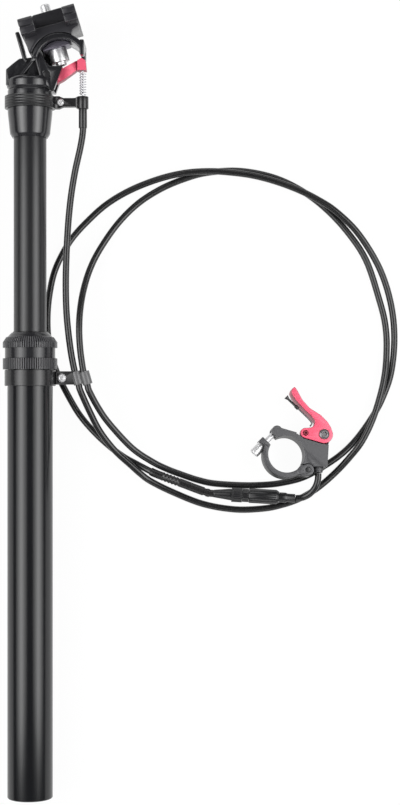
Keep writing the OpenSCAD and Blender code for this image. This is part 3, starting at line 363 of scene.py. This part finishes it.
# A second finish on the faces of a node whose middle passes a test
PARTLY = {"collar_cap": (KNURLED, lambda p: KNURL_Y[0] < p.y / MM < KNURL_Y[1] and out(p) > KNURL_R),
          "cable_guide": (EYES, lambda p: p.x / MM > EYES_X),
          "cable_stop": (RIDGED, lambda p: BAND_R[0] < out(p) < BAND_R[1] and p.x / MM < BAND_X)}


# Pieces
def finish_mesh(bm, name, finish, angle=38):
    """An object of this shape and finish, smooth except at edges sharper than angle."""
    mesh = bpy.data.meshes.new(name)
    bm.to_mesh(mesh)
    bm.free()
    mesh.materials.append(finish)
    mesh.shade_smooth()
    mesh.set_sharp_from_angle(angle=radians(angle))
    piece = bpy.data.objects.new(name, mesh)
    root.objects.link(piece)
    return piece


def place(piece, node):
    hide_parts(node)
    return piece


def crossings(bm):
    """Middles of the faces that cut through others."""
    shape = bm.copy()
    bmesh.ops.triangulate(shape, faces=shape.faces)
    shape.faces.ensure_lookup_table()
    tree = BVHTree.FromBMesh(shape)
    found = []
    for i, j in tree.overlap(tree):
        a, b = shape.faces[i], shape.faces[j]
        if i < j and not set(a.verts) & set(b.verts):
            found.append(min(a, b, key=lambda face: face.calc_area()).calc_center_median())
    shape.free()
    return found


def near(edge, point, reach):
    a, b = (v.co for v in edge.verts)
    foot, share = intersect_point_line(point, a, b)
    foot = a if share < 0 else b if share > 1 else foot
    return (foot - point).length < reach


# Tries at breaking edges, and how far round a crossing they stay sharp, as a share of the width
BREAK_TRIES = 10
SHARP_REACH = 1.2


def break_edges(bm, edges, width, segments):
    """The shape with these edges rounded, except where the rounding would cut through itself."""
    bm.edges.index_update()
    for _ in range(BREAK_TRIES):
        shape = bm.copy()
        shape.edges.ensure_lookup_table()
        bmesh.ops.bevel(shape, geom=[shape.edges[e.index] for e in edges], offset=width,
                        offset_type="OFFSET", segments=segments, profile=0.5, affect="EDGES",
                        clamp_overlap=False, material=-1)
        crossed = crossings(shape)
        if not crossed:
            bm.free()
            return shape
        shape.free()
        edges = [e for e in edges if not any(near(e, p, SHARP_REACH * width) for p in crossed)]
        if not edges:
            break
    return bm


# Meeting points that are joined, in metres, and the angles at which faces count as flat and edges as sharp
SAME_POINT = 2e-6
FLAT = radians(0.4)
SHARP = radians(32)


def dress(node, width, segments=3, only=None):
    """A node's own shape with its outer edges broken, or only those whose middle passes a test."""
    bm = bmesh.new()
    bm.from_mesh(NODES[node].data)
    bmesh.ops.remove_doubles(bm, verts=bm.verts, dist=SAME_POINT)
    bmesh.ops.dissolve_limit(bm, angle_limit=FLAT, verts=bm.verts, edges=bm.edges)
    edges = [e for e in bm.edges if e.is_convex and e.calc_face_angle(0) > SHARP]
    if only:
        edges = [e for e in edges if only((e.verts[0].co + e.verts[1].co) / 2)]
    if edges:
        bm = break_edges(bm, edges, width * MM, segments)
    piece = finish_mesh(bm, node + "_shown", OWN.get(node, LOOK[SLOT[node]]))
    if node in PARTLY:
        second, test = PARTLY[node]
        piece.data.materials.append(second)
        for face in piece.data.polygons:
            face.material_index = int(test(face.center))
    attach(piece, BODY[node])
    return place(piece, node)


def sweep(name, path, radii, sides, finish):
    """A tube along path, in millimetres, with a radius for each point: rings, bridged one to the next."""
    bm = bmesh.new()
    side = None
    last = []
    for i, point in enumerate(path):
        along = (path[min(i + 1, len(path) - 1)] - path[max(i - 1, 0)]).normalized()
        if side is None:
            side = along.cross(Vector((0.1, 0.2, 1))).normalized()
        side = (side - along * side.dot(along)).normalized()
        across = Matrix((side.cross(along), side, along)).transposed().to_4x4()
        across.translation = MM * point
        closed = i in (0, len(path) - 1)
        ring = bmesh.ops.create_circle(bm, cap_ends=closed, segments=sides, radius=MM * radii[i],
                                       matrix=across)
        edges = list(dict.fromkeys(edge for vert in ring["verts"] for edge in vert.link_edges))
        if last:
            bmesh.ops.bridge_loops(bm, edges=last + edges)
        last = edges
    bmesh.ops.recalc_face_normals(bm, faces=bm.faces)
    return finish_mesh(bm, name, finish, 50)


# Cable housing
HOUSING_R = 2.0


def housing(node, points):
    """A stretch of housing, and its path in metres."""
    path = smooth(points, 6)
    piece = sweep(node + "_shown", path, [HOUSING_R] * len(path), 20, HOUSING)
    return place(piece, node), [MM * point for point in path]


upper, upper_path = housing("housing_upper", UPPER)
loops, loops_path = housing("housing_loops", LOOPS)
tail = housing("housing_tail", TAIL)[0]
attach(loops, "lower")
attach(tail, "lower")
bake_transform(upper)

# Boot of the adjuster, with ridges near its outer end: a sleeve, the ridges, a grip, and a neck with a ring
SLEEVE_END = 8
RIDGES_END = 19
GRIP_END = 34.5
RING_ENDS = (36, 38)
SLEEVE_R = 2.5
GRIP_R = 2.6
NECK_R = 2.2
RIDGE_PITCH = 2.2
RIDGE_RISE = 0.22
boot_path = smooth(BOOT, 40)
boot_path.insert(0, boot_path[0] + 0.4 * (BOOT[0] - BOOT[1]).normalized())
boot_path.append(boot_path[-1] + 0.5 * (BOOT[-1] - BOOT[-2]).normalized())


def boot_r(run):
    """The boot's radius at this run along it, in millimetres."""
    if run < SLEEVE_END:
        return SLEEVE_R
    if run < RIDGES_END:
        return SLEEVE_R + RIDGE_RISE * cos(2 * pi * (run - SLEEVE_END) / RIDGE_PITCH)
    if run < GRIP_END:
        return GRIP_R
    return SLEEVE_R if RING_ENDS[0] <= run <= RING_ENDS[1] else NECK_R


boot_radii = [boot_r(length(boot_path[:i + 1])) for i in range(len(boot_path))]
boot = place(sweep("adjuster_boot_shown", boot_path, boot_radii, 20, RUBBER), "adjuster_boot")
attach(boot, "lower")

# Return spring round the wire at the head
CABLE_X = 31.6
SPRING_FOOT = HEAD_Y + 24.95
SPRING_TOP = HEAD_Y + 40.05
SPRING_R = 1.8
SPRING_WIRE = 0.6
CURLS = 9
CURL_STEPS = 24
SPRING_BODY = SPRING_TOP - SPRING_FOOT - 2 * SPRING_WIRE
coil = [Vector((CABLE_X, SPRING_FOOT, SPRING_R))]
for i in range(CURLS * CURL_STEPS + 1):
    t = i / (CURLS * CURL_STEPS)
    turn = 2 * pi * CURLS * t
    coil.append(Vector((CABLE_X + SPRING_R * sin(turn), SPRING_FOOT + SPRING_WIRE + SPRING_BODY * t,
                        SPRING_R * cos(turn))))
coil.append(Vector((CABLE_X, SPRING_TOP, SPRING_R)))
spring = sweep("return_spring_shown", coil, [SPRING_WIRE / 2] * len(coil), 10, SPRING)
place(spring, "return_spring")
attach(spring, "post")
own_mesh(spring)

# Inner wire: a straight tube along the cable's line, as long and as thick as the wire's solid
WIRE_RINGS = 32
wire_lo, wire_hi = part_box("inner_wire")
wire_len = wire_hi[1] - wire_lo[1]
wire_ys = [(wire_lo[1] + wire_len * i / WIRE_RINGS) / MM for i in range(WIRE_RINGS + 1)]
wire_r = (wire_hi[0] - wire_lo[0]) / 2 / MM
wire_path = [Vector((CABLE_X, y, 0)) for y in wire_ys]
wire = place(sweep("inner_wire_shown", wire_path, [wire_r] * len(wire_path), 12, STEEL), "inner_wire")
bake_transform(wire)

# Outer tube, rounded at its lower end
dress("lower_tube", 0.9, 4, only=lambda p: p.y < 0.1 * MM and out(p) > 13)

# Every other piece keeps its own shape, with its edges broken by this width in millimetres
PLAIN_BREAK = 0.12
BREAK = {"stanchion": 0.3, "collar_cap": 0.08, "lock_ring": 0.08, "head": 0.7, "lower_cradle": 0.5,
         "upper_cap": 0.5, "head_lever": 0.35, "thumb_lever": 0.5, "remote_body": 0.45,
         "remote_clamp_arm": 0.4, "cable_stop": 0.3, "guide_band": 0.3, "cable_guide": 0.25,
         "remote_screw": 0.25, "clamp_bolt": 0.3}
for node in NODES:
    if not NODES[node].hide_render:
        dress(node, BREAK.get(node, PLAIN_BREAK))


# Floor, white to the camera and in reflections
def seen_white(tree, share):
    """The share of plain white that a ray takes if it shows in the picture, directly or in a reflection."""
    light, part = add_nodes(tree, "LightPath", "MULTIPLY")
    shown = light.outputs["Is Camera Ray"]
    for kind in ("Is Glossy Ray", "Is Transmission Ray"):
        either = add_nodes(tree, "ADD")[0]
        either.use_clamp = True
        tree.links.new(shown, either.inputs[0])
        tree.links.new(light.outputs[kind], either.inputs[1])
        shown = either.outputs[0]
    part.inputs[1].default_value = share
    tree.links.new(shown, part.inputs[0])
    return part.outputs[0]


# Half the floor's side in metres, its gap under the object in millimetres, and its share of plain white
FLOOR_HALF = 60.0
FLOOR_GAP = 0.1
FLOOR_WHITE = 0.96


def floor():
    bm = bmesh.new()
    bmesh.ops.create_grid(bm, x_segments=1, y_segments=1, size=FLOOR_HALF)
    for corner in bm.verts:
        corner.co.z = (rest_z(corner.co.y / MM) - FLOOR_GAP) * MM
    pale = bpy.data.materials.new("Pale floor")
    pale.use_nodes = True
    tree = pale.node_tree
    shader = tree.nodes["Principled BSDF"]
    shader.inputs["Base Color"].default_value = (0.9, 0.9, 0.9, 1)
    shader.inputs["Roughness"].default_value = 0.9
    glow, mix = add_nodes(tree, "Emission", "MixShader")
    tree.links.new(seen_white(tree, FLOOR_WHITE), mix.inputs[0])
    tree.links.new(shader.outputs[0], mix.inputs[1])
    tree.links.new(glow.outputs[0], mix.inputs[2])
    tree.links.new(mix.outputs[0], tree.nodes["Material Output"].inputs["Surface"])
    finish_mesh(bm, "Floor", pale)


floor()


# Lights, in metres, with a glow in watts for each square metre
LIGHT_Y = 0.21
LIGHT_LEN = 0.98
GLOW = 5.4
END_GLOW = 1.1 * GLOW
END_SIZE = (1.1, 0.36)
END_X = 0.1


def area(name, spot, target, size, glow):
    """A soft light of this size that looks from its spot to a target."""
    light = bpy.data.lights.new(name, "AREA")
    light.shape = "RECTANGLE"
    light.size, light.size_y = size
    light.energy = glow * size[0] * size[1]
    lamp = bpy.data.objects.new(name, light)
    lamp.location = spot
    lamp.rotation_euler = (Vector(target) - Vector(spot)).to_track_quat("-Z", "Y").to_euler()
    root.objects.link(lamp)


# Each side has three soft lights, one behind another, so that a highlight fades to both sides
for side, x, z in (("Left", -0.53, 0.63), ("Right", 0.64, 0.58)):
    for width, back in ((0.22, 1.0), (0.5, 1.02), (0.9, 1.04)):
        area("%s light %.2f" % (side, width), (x * back, LIGHT_Y, z * back), (0, LIGHT_Y, 0),
             (LIGHT_LEN, width), GLOW)

# One past each end of the post shows the cable where it runs across, and the head's edges
for end, y, z in (("Foot", -0.75, 0.5), ("Head", 1.2, 0.5)):
    area(end + " light", (END_X, y, z), (END_X, LIGHT_Y, 0), END_SIZE, END_GLOW)

# World: a faint light, and white where the camera sees past the floor
WORLD_LIGHT = 0.03
world = scene.world or bpy.data.worlds.new("World")
scene.world = world
world.use_nodes = True
sky = world.node_tree.nodes["Background"]
sky.inputs["Color"].default_value = (1, 1, 1, 1)
rays, bright = add_nodes(world.node_tree, "LightPath", "MapRange")
bright.inputs["To Min"].default_value = WORLD_LIGHT
world.node_tree.links.new(rays.outputs["Is Camera Ray"], bright.inputs["Value"])
world.node_tree.links.new(bright.outputs["Result"], sky.inputs["Strength"])

# Camera, straight above the object
camera = bpy.data.objects.new("Camera", bpy.data.cameras.new("Camera"))
camera.data.sensor_fit = "VERTICAL"
camera.data.sensor_height = 36
camera.data.lens = 82.1
camera.data.clip_start = 0.05
camera.location = (0.1018, 0.2368, 1.1)
root.objects.link(camera)
scene.camera = camera
scene.view_settings.view_transform = "Standard"
